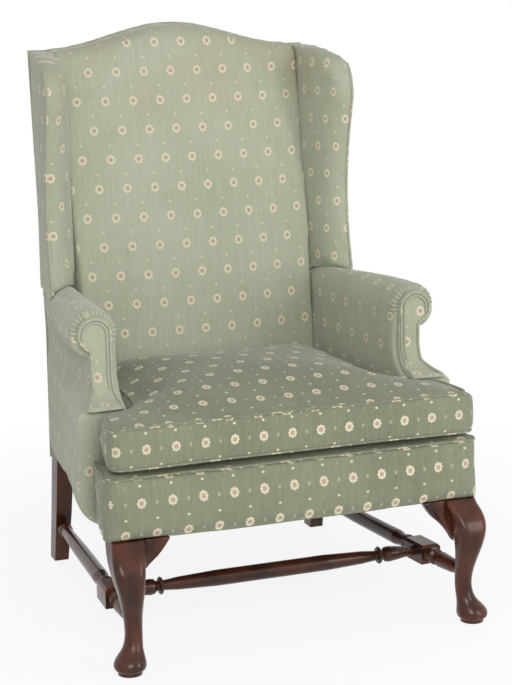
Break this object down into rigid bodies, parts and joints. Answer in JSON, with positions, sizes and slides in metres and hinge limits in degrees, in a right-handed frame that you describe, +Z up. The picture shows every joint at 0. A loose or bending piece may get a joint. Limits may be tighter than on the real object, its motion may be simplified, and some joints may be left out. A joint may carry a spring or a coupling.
{
  "type": "wingback armchair",
  "caption": "High-backed armchair with side wings, rolled arms, a loose T-shaped seat cushion, cabriole front legs and turned stretchers.",
  "frame": {"origin": "centre of the footprint of the bounding box, on the floor under the feet", "axes": "+Z up, -Y the front of the chair, +X to the right as seen from the front; the chair is its own mirror image in X = 0"},
  "size_m": [0.7838, 0.7994, 1.1304],
  "materials": {
    "mahogany": "dark mahogany stain under a glossy polish",
    "beech": "plain planed beech, hidden",
    "steel": "plain wire and screws",
    "hessian": "coarse jute cloth",
    "webbing": "woven jute strap",
    "stuffing": "felted stuffing",
    "dust_cloth": "thin black cotton",
    "damask": "sage green damask with small woven rosettes"
  },
  "bodies": {
    "chair": {"arm_cover_left": "damask", "arm_cover_right": "damask", "arm_facing_left": "damask", "arm_facing_right": "damask", "arm_pad_left": "stuffing", "arm_pad_right": "stuffing", "arm_rail_left": "beech", "arm_rail_right": "beech", "arm_stump_left": "beech", "arm_stump_right": "beech", "arm_tack_rail_left": "beech", "arm_tack_rail_right": "beech", "back_hessian": "hessian", "back_pad": "stuffing", "back_post_left": "beech", "back_post_right": "beech", "back_webbing": "webbing", "corner_block_screws": "steel", "corner_blocks": "beech", "crest_rail": "beech", "cross_stretcher": "mahogany", "dust_cover": "dust_cloth", "frame_dowels": "beech", "front_border_cover": "damask", "front_border_pad": "stuffing", "front_leg_left": "mahogany", "front_leg_right": "mahogany", "inner_back_cover": "damask", "knee_bracket_left": "mahogany", "knee_bracket_right": "mahogany", "lower_back_rail": "beech", "outer_arm_cover_left": "damask", "outer_arm_cover_right": "damask", "outer_back_cover": "damask", "outer_wing_cover_left": "damask", "outer_wing_cover_right": "damask", "rear_leg_left": "mahogany", "rear_leg_right": "mahogany", "seat_deck_cover": "damask", "seat_hessian": "hessian", "seat_pad": "stuffing", "seat_rail_back": "beech", "seat_rail_front": "beech", "seat_rail_left": "beech", "seat_rail_right": "beech", "seat_springs": "steel", "side_stretcher_left": "mahogany", "side_stretcher_right": "mahogany", "spring_clips": "steel", "wing_cover_left": "damask", "wing_cover_right": "damask", "wing_pad_left": "stuffing", "wing_pad_right": "stuffing", "wing_post_left": "beech", "wing_post_right": "beech", "wing_rail_left": "beech", "wing_rail_right": "beech"},
    "seat_cushion": {"cushion_core": "stuffing", "cushion_cover": "damask", "cushion_piping": "damask"}
  },
  "joints": [
    {"name": "cushion_lift", "type": "slide", "parent": "chair", "child": "seat_cushion", "axis": [0, 0, 1], "range_m": [0, 0.25]}
  ]
}
